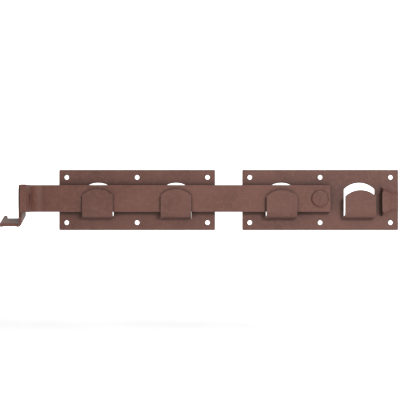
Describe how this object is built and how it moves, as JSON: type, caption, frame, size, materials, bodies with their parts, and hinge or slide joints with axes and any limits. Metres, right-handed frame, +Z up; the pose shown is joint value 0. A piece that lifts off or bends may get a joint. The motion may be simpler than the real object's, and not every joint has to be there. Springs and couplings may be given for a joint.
{
  "type": "flat sliding gate bolt",
  "caption": "Flat bar gate bolt in brown painted steel, with a guide plate and a keeper plate whose pressed hooks hold the sliding bar.",
  "frame": {"origin": "centre of the guide plate's back face, on the gate's surface", "axes": "+X is the way the bolt shoots, +Z is up, +Y points into the gate and -Y faces the person at the gate"},
  "size_m": [0.3893, 0.05, 0.06],
  "materials": {
    "brown_paint": "satin brown paint on steel, faintly mottled"
  },
  "bodies": {
    "plates": {"guide_plate": "brown_paint", "keeper_plate": "brown_paint"},
    "bolt": {"slide_bar": "brown_paint", "pull_handle": "brown_paint", "stop_rivet": "brown_paint"}
  },
  "joints": [
    {"name": "bar_slide", "type": "slide", "parent": "plates", "child": "bolt", "axis": [1, 0, 0], "range_m": [-0.118, 0.038]}
  ]
}
